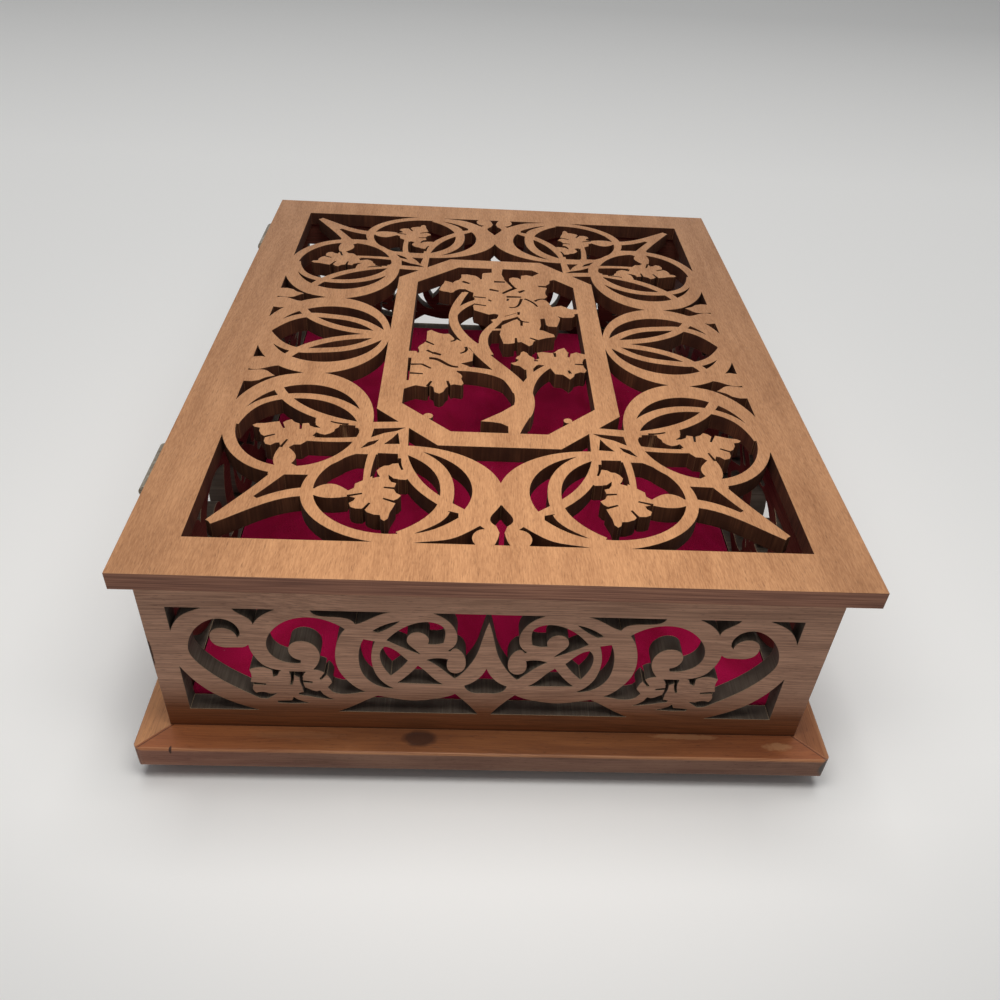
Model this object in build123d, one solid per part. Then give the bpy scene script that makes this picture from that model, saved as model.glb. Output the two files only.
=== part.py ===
from build123d import *
import os
from math import pi

# A fretwork keepsake box with a velvet floor and a lid hinged along its left side.
# Millimetres. X runs from the hinge side to the opening side, Y from front to back, Z up.
# The origin is under the middle of the box, on the surface that it stands on.

# Walls
box_width = 220.0
box_length = 286.0
wall_height = 71.0
wall_thickness = 6.35
wall_top_rail = 13.0
wall_bottom_rail = 9.0
front_stile = 9.6
front_window_offset = -1.5
side_stile = 9.0

# Lid
lid_thickness = 6.35
lid_overhang_ends = 6.0
lid_overhang_hinge_side = 4.4
lid_overhang_opening_side = 7.6
lid_side_border = 18.0
lid_end_border = 17.0
octagon_border = 9.0
octagon_flat_loss = 4.3

# Base moulding and boards
base_overhang = 10.5
moulding_width = 26.0
moulding_height = 12.0
moulding_round = 5.0
moulding_top_ease = 1.0
moulding_corner_round = 3.5
bottom_board_thickness = 4.0
bottom_board_setback = 14.0
floor_board_thickness = 6.35
floor_gap = 0.3
velvet_thickness = 3.5

# Hinges
hinge_length = 25.4
hinge_front_place = -89.0
hinge_back_place = 115.0
leaf_thickness = 1.0
leaf_gap = 0.3
leaf_edge_margin = 0.4
barrel_radius = 2.4
barrel_clearance = 0.3
knuckle_gap = 0.2
pin_radius = 0.9
pin_clearance = 0.05
pin_head_radius = 1.4
pin_head_length = 0.6

# Fasteners
screw_radius = 1.0
screw_head_radius = 1.8
screw_spacing = 14.0
wall_screw_length = 7.5
lid_screw_length = 4.8
panel_pin_radius = 0.6
panel_pin_head_radius = 1.3
panel_pin_head_height = 0.7
panel_pin_length = 11.0
panel_pin_edge = 6.0
panel_pins_per_end = 3
panel_pins_per_side = 4

# Heights, from the surface that the box stands on
moulding_base = bottom_board_thickness
wall_base = moulding_base + moulding_height
wall_top = wall_base + wall_height

# Places across and along
wall_x = box_width / 2
wall_y = box_length / 2
inner_x = wall_x - wall_thickness
inner_y = wall_y - wall_thickness
base_x = wall_x + base_overhang
base_y = wall_y + base_overhang
lid_left = -wall_x - lid_overhang_hinge_side
lid_right = wall_x + lid_overhang_opening_side
lid_middle = (lid_left + lid_right) / 2
lid_half_width = (lid_right - lid_left) / 2
lid_half_length = wall_y + lid_overhang_ends
hinge_x = lid_left - barrel_clearance - barrel_radius
hinge_z = wall_top - leaf_thickness - leaf_gap / 2

# The fret drawings, each for an opening of this half width and half length or height.
# A drawing is stretched to the opening that it fills, and the lid's bars keep their own widths.
lid_drawing = (98.0, 132.0)
wall_drawing = (101.0, 49.0)

# Widths of the lid's bars, and of the cuts that a saw blade makes in one stroke, which narrow to a
# share of their width
lid_bar = 4.6
lid_bar_fine = 3.8
stalk = 2.8
saw_kerf = 1.1
saw_kerf_leaf = 1.3
saw_slot = 1.9
saw_cut_taper = 0.7
smallest_opening = pi * saw_kerf**2 / 2

# The corner of the lid's fret is the same on both sides of a line at 45 degrees. This is how far
# a point moves, once its two places are swapped.
corner_swap = (33.3, -33.2)


def ribbon(points, start, end=None, steps=5):
    """A bar of wood on a curved middle line, from one width to another."""
    end = start if end is None else end
    middle = Line(*points) if len(points) == 2 else Spline(*points)
    count = steps * (len(points) - 1)
    left = []
    right = []
    for i in range(count + 1):
        along = middle % (i / count)
        across = Vector(-along.Y, along.X) * (start + (end - start) * i / count) / 2
        left.append(middle @ (i / count) + across)
        right.append(middle @ (i / count) - across)
    right.reverse()
    sides = [Spline(*left), Line(left[-1], right[0]), Spline(*right), Line(right[-1], left[0])]
    return facing_up(Face(Wire(sides)))


def facing_up(face):
    """Every piece of a drawing faces the same way, so that they join into one."""
    return face if face.normal_at().Z > 0 else -face


def straight_sided(corners):
    return facing_up(Face(Wire.make_polygon(corners, close=True)))


def disc(centre, radius):
    """A round bud."""
    return Pos(*centre) * Circle(radius)


def ellipse(centre, radii):
    return Pos(*centre) * Ellipse(*radii)


def curved(place, *runs):
    """A shape whose edge is drawn in smooth runs, each one ending where the next begins."""
    edges = []
    for run, following in zip(runs, runs[1:] + runs[:1]):
        points = place(*run, following[0])
        edges.append(Line(*points) if len(points) == 2 else Spline(*points))
    return facing_up(Face(Wire(edges)))


def kerfs(place, lines, width):
    """Single saw cuts along some lines, each one narrowing to its far end."""
    return [ribbon(place(*line), width, width * saw_cut_taper) for line in lines]


def stretched(drawing, opening):
    """Scale a drawing's points to the opening that it fills."""
    across = opening[0] / drawing[0]
    along = opening[1] / drawing[1]

    def place(*points):
        moved = [(x * across, y * along) for x, y in points]
        return moved if len(moved) > 1 else moved[0]

    return place


def octagon(half_width, half_length, flat_x, flat_y):
    """An eight-sided face, from the half lengths of its upright and level sides."""
    corners = [
        (half_width, flat_y), (flat_x, half_length), (-flat_x, half_length), (-half_width, flat_y),
        (-half_width, -flat_y), (-flat_x, -half_length), (flat_x, -half_length),
        (half_width, -flat_y),
    ]
    return straight_sided(corners)


def leaf_spray(place):
    """A leaf on its bud with a small leaf beside it, and the cuts round and between them."""
    leaf = [
        (-45.2, -100.5), (-48.5, -103.1), (-48.6, -105.4), (-50.2, -106.8), (-50.2, -109.8),
        (-47.6, -110.6), (-47.9, -112.0), (-49.4, -113.4), (-48.7, -115.3), (-47.0, -116.1),
        (-44.3, -116.1), (-43.1, -117.8), (-40.8, -118.9), (-38.9, -119.0), (-38.4, -121.0),
        (-37.3, -121.9), (-36.2, -120.6), (-35.9, -117.8), (-35.0, -115.0), (-34.4, -112.8),
        (-35.8, -112.0), (-33.7, -110.3), (-32.9, -108.7), (-34.6, -107.4), (-35.5, -105.4),
        (-35.2, -103.6), (-34.9, -102.1), (-36.6, -101.5), (-38.2, -97.5), (-42.4, -98.0),
    ]
    small_leaf = [
        (-42.5, -99.5), (-41.5, -97.2), (-42.0, -95.6), (-41.1, -93.9), (-39.7, -92.6),
        (-38.2, -92.4), (-37.0, -91.3), (-35.2, -91.0), (-33.0, -91.5), (-30.5, -95.5),
        (-30.3, -98.4), (-31.9, -100.2), (-34.4, -100.0), (-36.4, -101.2), (-38.0, -100.0),
    ]
    wood = [
        curved(place, ((-61.5, -106.6), (-59, -104.2), (-55.6, -103.6), (-52.4, -105.2)),
               ((-50.2, -107),), ((-50.2, -110), (-54, -110.9), (-58, -110.9)),
               ((-61.5, -109.6),)),
        ribbon(place((-64, -108), (-49, -108.4)), lid_bar_fine, stalk),
        ribbon(place((-44.2, -84), (-45.0, -92), (-44.9, -102)), stalk, 2.2),
        straight_sided(place(*leaf)),
        straight_sided(place(*small_leaf)),
    ]
    cuts = kerfs(place, [
        ((-50.4, -109.7), (-45.6, -108.2)), ((-44.5, -116.6), (-42.7, -113.0)),
        ((-34.4, -112.3), (-38.6, -110.5)), ((-35.0, -105.0), (-38.9, -104.6)),
        ((-34.8, -88.0), (-34.3, -92.0), (-33.4, -94.6)),
    ], saw_kerf)
    cuts += [
        straight_sided(place((-42.6, -85.3), (-35.6, -85.4), (-35.2, -90.2), (-38.6, -91.2),
                             (-40.4, -92.4), (-42.0, -90.2))),
        straight_sided(place((-43.5, -91.2), (-41.4, -93.8), (-42.0, -95.6), (-41.6, -97.1),
                             (-40.6, -98.8), (-43.0, -99.8), (-43.7, -96))),
        straight_sided(place((-37.9, -97.6), (-36.0, -99.6), (-34.6, -99.8), (-34.6, -102.3),
                             (-36.6, -101.6), (-37.6, -99.8))),
    ]
    return wood, cuts


def corner_ornament(place, across, along):
    """The front left corner of the lid's fret: two nested rings, leaves, buds and a spike."""
    side_ring = ellipse(place((-72.8, -65.5)), (26.8 * across, 33.2 * along))
    side_ring -= ellipse(place((-72.3, -68.2)), (22.3 * across, 26.4 * along))
    end_ring = ellipse(place((-32.5, -106.5)), (33.4 * across, 26.2 * along))
    end_ring -= ellipse(place((-35.7, -105.3)), (26.2 * across, 22.8 * along))
    arcs = [
        ribbon(
            place((-95, -70), (-92.8, -61.8), (-89.5, -56.3), (-84.5, -52.4), (-75, -50),
                  (-65, -51.3), (-57, -55.8), (-51.5, -62), (-48.5, -71)),
            stalk, lid_bar,
        ),
        ribbon(
            place((-40, -80), (-31, -84), (-23.5, -90), (-19, -98), (-17.8, -106), (-18.8, -114),
                  (-23.5, -122), (-32, -129)),
            lid_bar,
        ),
        ribbon(place((-85, -42), (-79.5, -52), (-73, -58.5), (-65, -63.5), (-48, -69)), lid_bar_fine),
        ribbon(place((-11, -118), (-20.5, -110.5), (-26.5, -104), (-31, -96), (-35, -80)),
               lid_bar_fine),
    ]
    spike = [
        ribbon(place((-91.5, -124.5), (-85, -115), (-80, -107.5), (-75.5, -100), (-71, -93)),
               stalk, lid_bar),
        ribbon(place((-91.5, -124.5), (-84, -118.5), (-76, -112.5), (-63, -108)), stalk, lid_bar),
        ribbon(place((-78, -97.5), (-62, -97)), lid_bar_fine),
        straight_sided(place((-90, -123), (-80.8, -111), (-78.6, -112.6))),
    ]
    crossing = [
        straight_sided(place((-50.6, -66.5), (-33, -65), (-32.2, -86), (-50, -86.2))),
    ]
    crossing_cuts = [
        straight_sided(place((-45.3, -70.3), (-34.0, -69.0), (-37.0, -71.3), (-41.5, -73.0),
                             (-45.8, -75.9))),
        straight_sided(place((-36.5, -72.4), (-35.4, -79.4), (-41.0, -79.8), (-38.4, -76.2))),
        straight_sided(place((-42.8, -77.0), (-44.2, -79.8), (-46.6, -81.6), (-48.9, -82.8),
                             (-46.6, -78.9))),
    ]
    end_fill = [
        straight_sided(place((-30, -130), (-24, -121.6), (-19.5, -117.5), (-15.5, -115.8),
                             (-12, -115.4), (-8.3, -113), (0, -106), (0, -133), (-29, -133))),
        straight_sided(place((-98.5, -22.2), (-95, -21.4), (-92.2, -22.3), (-90.5, -24.6),
                             (-87, -27), (-87, -36), (-90.3, -37.6), (-92.2, -39.7),
                             (-95, -40.8), (-98.5, -40.6))),
    ]
    end_cuts = [
        curved(place, ((0, -109.5), (-1.1, -114.0), (-3.7, -119.5)), ((-1.8, -122.8),),
             ((-0.8, -126), (-1.5, -129.5)), ((-2.7, -132.5),), ((0, -132.5),)),
        curved(place, ((-29.5, -132.5), (-22, -131), (-16, -129.6), (-10.5, -126)), ((-6.9, -122.9),),
             ((-5.3, -124.5), (-8.6, -126.3), (-9.4, -129), (-8, -132.5))),
        curved(place, ((-27.5, -127.6), (-20.5, -122.6), (-17.6, -119)), ((-16.6, -116.1),),
             ((-13.9, -117),), ((-13.8, -119.2), (-16, -121.3), (-21, -125))),
        curved(place, ((-99, -30.6), (-92, -30.6), (-87, -28.4), (-83, -30)), ((-76, -33),),
             ((-83, -35), (-87, -35.8), (-92, -31.9), (-99, -31.7))),
    ]
    wood, cuts = leaf_spray(place)

    def across_the_corner(*points):
        swapped = [(y + corner_swap[0], x + corner_swap[1]) for x, y in points]
        return place(*swapped)

    twin_wood, twin_cuts = leaf_spray(across_the_corner)
    bars = [side_ring, end_ring] + arcs + spike + crossing + end_fill + wood + twin_wood
    return Sketch() + bars - (crossing_cuts + end_cuts + cuts + twin_cuts)


def middle_ring(place, across, along):
    """A ring at the middle of the left side of the lid, with its crossing arcs."""
    ring = ellipse(place((-72.6, 0)), (27.4 * across, 33.2 * along))
    ring -= ellipse(place((-71.2, 0)), (23.3 * across, 24.3 * along))
    bow = [(-97, 0), (-93, -6.5), (-88.2, -11.9), (-81, -15.4), (-72.5, -15), (-64, -13.4),
           (-56, -9.2), (-51, -4.5), (-47, 0)]
    strap = [(-86, -23.5), (-80.4, -14), (-72, -7.3), (-62, -3.2), (-46, -0.8)]
    half = [ribbon(place(*bow), lid_bar_fine), ribbon(place(*strap), lid_bar_fine)]
    return [ring] + half + [mirror(bar, Plane.XZ) for bar in half]


def tree(place):
    """The tree inside the octagon, with slots sawn between its leaves."""
    branches = [
        ribbon(place((5, -73), (6.2, -65), (8, -57)), 3.4, 8.4),
        ribbon(place((8, -58), (10, -49), (8.5, -38)), 8.2, 7.0),
        straight_sided(place((-6.8, -63.2), (1, -56.5), (7, -50), (7, -60), (3.2, -66),
                             (0.8, -64.2), (-2.5, -63.4))),
        ribbon(place((9, -42), (4, -30), (-3, -19), (-10, -5)), 7.0, 5.0),
        ribbon(place((-8, -9), (-15, 2), (-19, 16), (-18, 30), (-14, 44)), 5.2, stalk),
        ribbon(place((-3.6, -14), (-5.8, -4), (-5.2, 3.5), (-2.6, 10), (0.8, 16.5), (2, 26)),
               4.2, stalk),
        ribbon(place((-19, 20), (-14, 30), (-6, 37)), stalk + 0.4, stalk),
        ribbon(place((-2, 16), (5, 20), (14, 27)), stalk),
        ribbon(place((-5, 8), (5, 9)), 1.6),
        ribbon(place((10.3, -44), (12.4, -34.5), (15.4, -28), (21, -21)), 5.8, stalk),
        ribbon(place((12.8, -33), (12.9, -21.5)), stalk),
        ribbon(place((7, -37), (0, -29), (-10, -26), (-22, -25)), 4.6, stalk),
        ribbon(place((0, 55), (0, 74)), 3.6),
        ribbon(place((17, 57), (27, 68)), 8.0),
    ]
    low_left = [
        (-28.2, 6.0), (-26.6, 4.6), (-24.8, 3.4), (-22.5, 2.7), (-20.4, 3.1), (-18.0, -1),
        (-14, -4), (-10.0, -12.5), (-10.3, -19.2), (-15.0, -21.6), (-12.0, -23.4), (-10.0, -27.5),
        (-16.6, -27.4), (-16.4, -28.4), (-14.8, -30.1), (-14.2, -31.7), (-14.6, -33.4),
        (-13.6, -37.0), (-14.4, -38.5), (-17.3, -37.8), (-19.3, -39.0), (-20.5, -41.0),
        (-21.3, -43.6), (-22.8, -45.1), (-24.7, -44.0), (-25.2, -40.6), (-26.4, -39.4),
        (-28.1, -40.5), (-32.2, -39.5), (-34.6, -41.0), (-38.0, -43.5), (-38.0, -13.0),
        (-33.4, -12.8), (-32.6, -11.3), (-32.9, -9.8), (-32.2, -7.8), (-30.6, -5.8),
        (-29.7, -2.8), (-29.8, 4.6),
    ]
    low_right = [
        (20.9, -21.6), (18.6, -20.6), (16.6, -20.2), (15.6, -21.2), (14.6, -23.2), (11.5, -24.3),
        (10.9, -24.9), (9.8, -23.2), (8.7, -21.8), (6.6, -21.3), (5.3, -19.8), (7.3, -19.0),
        (8.7, -17.0), (7.4, -15.9), (8.0, -14.4), (9.3, -13.0), (9.8, -10.6), (10.9, -9.7),
        (12.3, -11.0), (13.0, -13.0), (14.9, -14.8), (15.2, -16.5), (17.3, -15.2), (16.8, -13.0),
        (16.5, -10.5), (18.7, -9.7), (20.9, -10.1), (22.7, -10.4), (24.1, -9.3), (25.5, -7.2),
        (28.1, -5.5), (29.1, -8.6), (30.0, -10.4), (31.2, -10.1), (33.0, -8.9), (34.5, -9.8),
        (38.0, -11.0), (38.0, -13.2), (35.6, -14.4), (34.8, -17.3), (34.9, -19.0), (35.1, -20.9),
        (36.0, -23.7), (35.0, -25.6), (33.4, -25.1), (31.0, -26.6), (30.4, -28.8), (28.7, -31.1),
        (27.5, -29.4), (26.1, -27.6), (23.0, -27.3), (22.3, -25.4),
    ]
    middle_right = [
        (3.6, 13.8), (7.2, 17.6), (9.0, 18.8), (9.6, 20.2), (11.5, 24.0), (21.0, 24.0),
        (20.9, 20.6), (19.3, 20.6), (19.3, 13.6), (18.4, 9.6), (20.2, 9.1), (22.7, 7.0),
        (24.5, 5.9), (24.8, 3.8), (20.9, 2.5), (18.6, 1.2), (16.9, 0.2), (15.5, -0.9),
        (14.8, -3.8), (13.4, -5.2), (11.9, -3.5), (10.2, -1.7), (8.0, -2.4), (6.9, -3.1),
        (4.8, -3.8), (2.6, -3.8), (1.8, 0.6), (1.1, 4.1), (1.8, 8.4), (2.2, 12.5),
    ]
    upper_right = [
        (8.0, 31.0), (12.0, 42.0), (20.0, 42.0), (21.6, 39.0), (22.8, 38.4), (24.1, 35.6),
        (25.1, 31.8), (27.6, 32.8), (29.4, 33.6), (31.6, 32.1), (33.0, 30.7), (38.0, 30.0),
        (38.0, 27.2), (34.8, 25.6), (34.9, 23.8), (33.7, 22.3), (29.4, 21.9), (27.0, 23.4),
        (28.1, 21.3), (27.9, 19.1), (27.0, 15.6), (26.3, 13.0), (22.6, 13.2), (21.6, 14.5),
        (21.3, 20.6), (13.0, 18.0), (9.6, 20.0), (9.0, 26.0),
    ]
    canopy = [
        (-26.3, 44.9), (-25.6, 48.5), (-24.4, 52.0), (-23.9, 55.1), (-22.4, 54.4), (-20.2, 53.1),
        (-19.2, 55.0), (-17.4, 56.4), (-16.2, 59.4), (-16.4, 62.5), (-13.5, 62.9), (-9.8, 61.8),
        (-8.6, 60.6), (-6.8, 57.9), (-6.7, 63.2), (-5.9, 65.0), (-1.5, 66.1), (-1.4, 72.0),
        (3.6, 72.0), (2.9, 64.4), (4.1, 59.6), (6.4, 57.5), (6.5, 60.2), (8.2, 61.6), (10.5, 61.2),
        (12.0, 59.5), (12.2, 63.7), (14.7, 64.8), (17.1, 63.9), (18.7, 62.4), (20.8, 65.4),
        (23.0, 69.0), (30.0, 62.0), (25.7, 59.5), (25.4, 56.2), (23.6, 54.0), (23.9, 50.8),
        (23.1, 48.0), (22.9, 45.0), (23.7, 42.4), (21.5, 39.0), (12.0, 27.0), (4.0, 21.5),
        (-1.0, 23.2), (-3.5, 22.2), (-6.5, 24.0), (-10.0, 26.0), (-10.5, 30.0), (-9.7, 31.8),
        (-10.2, 34.0), (-9.8, 37.5), (-10.6, 39.5), (-10.4, 43.4), (-12.4, 45.0), (-14.2, 46.8),
        (-16.8, 46.8), (-18.7, 45.2), (-19.7, 43.1), (-20.9, 42.5), (-22.4, 43.4), (-24.4, 43.7),
    ]
    leaves = [straight_sided(place(*outline))
              for outline in (low_left, low_right, middle_right, upper_right, canopy)]
    buds = [disc(place((-26.3, -60.8)), 1.8), disc(place((25.6, -61)), 1.6)]
    fine_cuts = kerfs(place, [
        ((-20.2, 4.0), (-18.4, 1.0), (-17.6, -1.6), (-19.6, -3.4)), ((-30.4, -3.8), (-26.4, -6.9)),
        ((-33.2, -10.8), (-32.6, -14.0)), ((-29.2, -11.6), (-26, -14), (-23.4, -15.0)),
        ((-35.7, -18.4), (-35.6, -27), (-35.5, -36.0)), ((-35.0, -23.6), (-30.4, -23.1)),
        ((-30.6, -23.2), (-26.8, -26.3)), ((-35.0, -30.4), (-29.8, -30.7)),
        ((-27.6, -40.0), (-26.2, -36.0)), ((-19.1, -39.2), (-20.0, -35.4)),
        ((-13.3, -7.7), (-12.9, -10.4), (-15.3, -13.3)), ((23.7, -10.0), (23.9, -13.4)),
        ((30.0, -10.0), (29.4, -13.4)), ((35.2, -19.0), (31.6, -18.9)), ((29.2, -26.5), (28.6, -24.0)),
        ((15.0, -16.9), (16.6, -17.2)), ((8.0, -3.0), (8.0, 1.6)), ((17.2, 0.0), (14.0, 2.1)),
        ((9.4, 20.2), (10.8, 17.2), (14.2, 16.4)), ((10.9, 17.0), (10.8, 12.8)),
        ((-7.0, 64.2), (-7.0, 58.2)), ((5.6, 38.6), (5.0, 36.4)),
        ((13.0, 39.2), (16.4, 36.0), (18.6, 31.8)), ((17.6, 37.0), (20.0, 39.3), (22.6, 39.8)),
        ((11.7, 39.0), (10.7, 34.4), (8.8, 30.6), (5.8, 30.0)), ((-10.2, 39.3), (-4.6, 38.7)),
        ((-10.2, 32.0), (-4.6, 30.7)), ((-3.6, 36.8), (-2.2, 35.4)), ((9.9, 25.8), (9.8, 23.0)),
    ], saw_kerf_leaf)
    wide_cuts = kerfs(place, [
        ((-27.9, -18.3), (-23.4, -19.8), (-20.6, -22.6), (-16.0, -24.4)),
        ((-26.6, -13.6), (-23.2, -15.2)),
        ((4.6, 60.0), (6.4, 55.0), (8.6, 50.0)), ((9.4, 50.4), (5.5, 46.6), (3.0, 43.8)),
        ((-0.8, 56.1), (4.4, 56.1)), ((-3.0, 47.6), (1.3, 46.0)), ((10.5, 45.6), (13.3, 48.0)),
        ((4.8, 40.6), (11.6, 40.8)), ((-15.7, 55.0), (-12.3, 52.9)), ((24.0, 52.6), (20.0, 53.0)),
        ((-15.9, 46.4), (-15.2, 43.6)),
    ], saw_slot)
    return Sketch() + (branches + leaves + buds) - (fine_cuts + wide_cuts)


def lid_fret(half_width, half_length):
    """The whole fret of the lid, for an opening of the given half sizes."""
    place = stretched(lid_drawing, (half_width, half_length))
    across, along = place((1, 1))
    quarter = corner_ornament(place, across, along)
    left_half = quarter + mirror(quarter, Plane.XZ) + middle_ring(place, across, along)
    width, length = place((45.5, 79.5))
    flat_x, flat_y = place((22.0, 57.0))
    frame = octagon(width, length, flat_x, flat_y) - octagon(
        width - octagon_border, length - octagon_border,
        flat_x - octagon_flat_loss, flat_y - octagon_flat_loss,
    )
    return left_half + mirror(left_half, Plane.YZ) + frame + tree(place)


def wall_openings(half_width, height):
    """The fret of a wall, as its openings above the bottom rail, for the given half sizes."""
    place = stretched(wall_drawing, (half_width, height))
    middle = [
        curved(place, ((0, 50),), ((18.4, 50),),
             ((17.7, 48.9), (14, 46.6), (11.2, 43), (10, 39), (10.3, 35.6)), ((13, 32),),
             ((12.2, 31.5), (10.3, 33), (8.4, 31.4), (7.2, 28.5), (7, 25), (8, 22.3), (10.3, 21),
              (12.3, 22), (13.2, 24.3)),
             ((12.8, 27.8), (15.5, 28.3)), ((20, 27.3), (16.4, 24.6), (13, 21)),
             ((10.5, 18.3), (8.7, 20.2), (6, 24.5), (3.6, 30), (2.2, 36), (1.2, 41)),
             ((0, 45.5),)),
        curved(place, ((0, 23.6), (2.1, 19.2), (4.4, 16.6)), ((7.2, 14.9), (5.8, 12.2)),
             ((3, 11),), ((0, 11.2),)),
        curved(place, ((14.2, 15.2), (18, 18.8), (21.3, 23)), ((22.8, 24.4), (24.6, 21.6), (27.4, 18)),
             ((29.8, 15.6),)),
        curved(place, ((26, 26.8), (28.6, 30), (31.6, 32.7)), ((33.4, 33.3), (34.8, 31), (35, 27),
             (33.7, 22.5)), ((31.8, 19.2), (28.6, 22.8))),
        curved(place, ((1.7, -1), (4.5, 3.5), (7.5, 7.4)), ((10.2, 10.5), (12.4, 9.2), (17, 7.7),
             (25, 6.6), (32, 7.7)), ((36.4, 8.8), (40, 6.6), (45, 3.1), (52, -1))),
    ]
    ring = [
        curved(place, ((14.4, 35.6), (13.9, 39), (14.4, 42.6), (18.6, 45), (23.5, 44.3), (28, 41.6)),
             ((32.8, 36.2), (28, 33.2)), ((21.8, 29.8), (24.0, 32.5), (26.2, 35.9), (25.4, 39),
             (23, 40.3), (20.4, 39.3)), ((19.5, 35), (17, 34.8))),
        curved(place, ((28.2, 45.2), (31.4, 42.2)), ((35.4, 39.6),), ((37.2, 40.3), (33.4, 43.2))),
        curved(place, ((36.5, 35.6),), ((40.2, 36.5), (41.7, 31.5), (42.1, 26.5), (41.4, 21),
             (39.4, 16.8), (36.2, 13.9)), ((30.8, 12.7), (34, 15.2), (36.4, 19), (37.7, 24),
             (37.9, 29))),
        curved(place, ((29.4, 50),), ((29.4, 49.1), (36.5, 46.6), (40.2, 44.2)),
             ((42.4, 43.2), (48, 46.2), (55.6, 47.7)), ((56.4, 50),)),
    ]
    scrolls = [
        curved(place, ((40.5, 10.7), (43.6, 12.8), (46.2, 16), (48.6, 20.5), (49.7, 26), (49.3, 32),
             (48, 37)), ((45.8, 40.9), (50, 44), (55, 45.7), (60, 45.6), (65, 43.5), (69, 39.5),
             (71.2, 35), (71.3, 30.5), (69.3, 26.7), (65.6, 24.6)), ((61.2, 24.3),),
             ((61, 25.8), (63.6, 27.3), (64.7, 30.2), (63.8, 33.2), (61, 34.8), (57.7, 34.2),
             (55.3, 31.5), (54.7, 27.5), (55.8, 23.8)), ((57.4, 21.2), (54.8, 20.6), (52.8, 18.6)),
             ((51.5, 15),), ((53.2, 12.5),), ((51.6, 10.2), (48, 9.2), (44, 9.8))),
        curved(place, ((66.8, 50),), ((66.8, 49.1), (71, 46.6), (73.4, 44.2)),
             ((74.7, 42), (76.4, 45.2), (80.2, 48.6)), ((80.6, 50),)),
        curved(place, ((89.4, 50),), ((89.4, 49.1), (93.5, 47.3), (97, 44.9), (99.6, 41.5)),
             ((101.4, 36.6),), ((104, 36),), ((104, 50),)),
        curved(place, ((104, 24),), ((101.6, 23), (98.4, 16.5), (93.4, 9.8), (88, 5.3), (82.4, 2.2)),
             ((75, -1),), ((104, -1),)),
        curved(place, ((77.2, 32.8), (78.7, 31.6), (82, 31.3), (85, 31.2), (88, 32.6), (89.1, 35.6),
             (88, 38.8), (85, 40.1), (82.3, 39.3)), ((80.4, 35.8),), ((79.5, 37), (79.6, 40.3),
             (81.6, 43.2), (85.2, 44.4), (90, 42.6), (94, 38.3), (96.3, 33), (96.7, 28.5),
             (95.2, 24.3), (92, 19.6), (88, 15.2), (83, 11), (79, 8)), ((76.5, 6.2),), ((74, 5.9),),
             ((70.3, 8.9),), ((72.8, 8.6), (75.2, 9.5)), ((77.4, 9), (78.3, 11)), ((77.9, 12.8),),
             ((78.6, 14.8), (78, 18.2)), ((78.4, 20.6), (75.5, 21.8), (72.6, 21.5)),
             ((70.9, 20.3),), ((70.9, 17.2),), ((69.4, 18),), ((68.6, 20),), ((67.8, 20.6),
             (70.6, 21.3), (73.6, 23.2), (75.4, 26), (76.6, 29))),
    ]
    leaves = [
        straight_sided(place((59.8, 20.2), (65.3, 20.2), (65.3, 18.6), (63.9, 18.2), (62.6, 17.4),
                             (61.9, 16.8), (61.0, 17.9), (60.5, 19.2))),
        straight_sided(place((51.0, 6.1), (53.0, 7.2), (54.8, 8.8), (55.8, 10.9), (57.0, 10.3),
                             (58.5, 10.9), (60.3, 12.1), (61.7, 12.0), (61.4, 9.8), (63.1, 9.4),
                             (63.0, 8.3), (60.0, 7.8), (57.0, 7.0), (53.5, 6.4))),
        straight_sided(place((59.6, 4.2), (62.0, 5.0), (64.0, 6.1), (65.0, 7.2), (65.7, 5.4),
                             (70.7, 5.0), (70.5, 3.9), (65.0, 3.7))),
    ]
    cuts = kerfs(place, [
        ((64.5, 18.6), (64.6, 16.5), (65.4, 13.4)),
        ((61.5, 17.6), (61.7, 15), (61.2, 12.5), (60.6, 10.5)), ((61.8, 15.4), (58.0, 14.9)),
        ((53.0, 19.9), (55.4, 16.4)), ((78.6, 13.9), (73.6, 13.4)),
    ], saw_kerf)
    half = Sketch() + (middle + ring + scrolls + leaves + cuts)
    return half + mirror(half, Plane.YZ)


def fret_panel(outline, openings):
    """A board with openings sawn out of it.

    An opening smaller than the drill hole that the saw blade starts from isn't cut.
    """
    board = max((outline - openings).faces(), key=lambda face: face.area)
    sawn_out = [wire for wire in board.inner_wires() if abs(Face(wire).area) > smallest_opening]
    return Sketch() + Face(board.outer_wire(), sawn_out)


def lid_panel():
    """The fretted lid, one board, with pilot holes for the hinge screws."""
    window_x = lid_half_width - lid_side_border
    window_y = lid_half_length - lid_end_border
    outline = Rectangle(2 * lid_half_width, 2 * lid_half_length)
    window = Rectangle(2 * window_x, 2 * window_y)
    drawn = fret_panel(outline, window - lid_fret(window_x, window_y))
    panel = extrude(drawn, lid_thickness, dir=(0, 0, 1))
    panel = Pos(lid_middle, 0, wall_top) * panel
    for x, y in screw_places():
        hole = Cylinder(screw_radius, lid_screw_length, align=(Align.CENTER, Align.CENTER, Align.MIN))
        panel -= Pos(x, y, wall_top - leaf_thickness) * hole
    return panel


def fretted_wall(length, stile, offset=0.0):
    """A fretted wall lying flat, its height along Y and its window offset along X."""
    window_x = length / 2 - stile
    window_height = wall_height - wall_top_rail - wall_bottom_rail
    outline = Rectangle(length, wall_height, align=(Align.CENTER, Align.MIN))
    window = Pos(offset, wall_bottom_rail) * Rectangle(
        2 * window_x, window_height, align=(Align.CENTER, Align.MIN)
    )
    openings = Pos(offset, wall_bottom_rail) * wall_openings(window_x, window_height)
    return extrude(fret_panel(outline, openings & window), wall_thickness, dir=(0, 0, 1))


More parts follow.
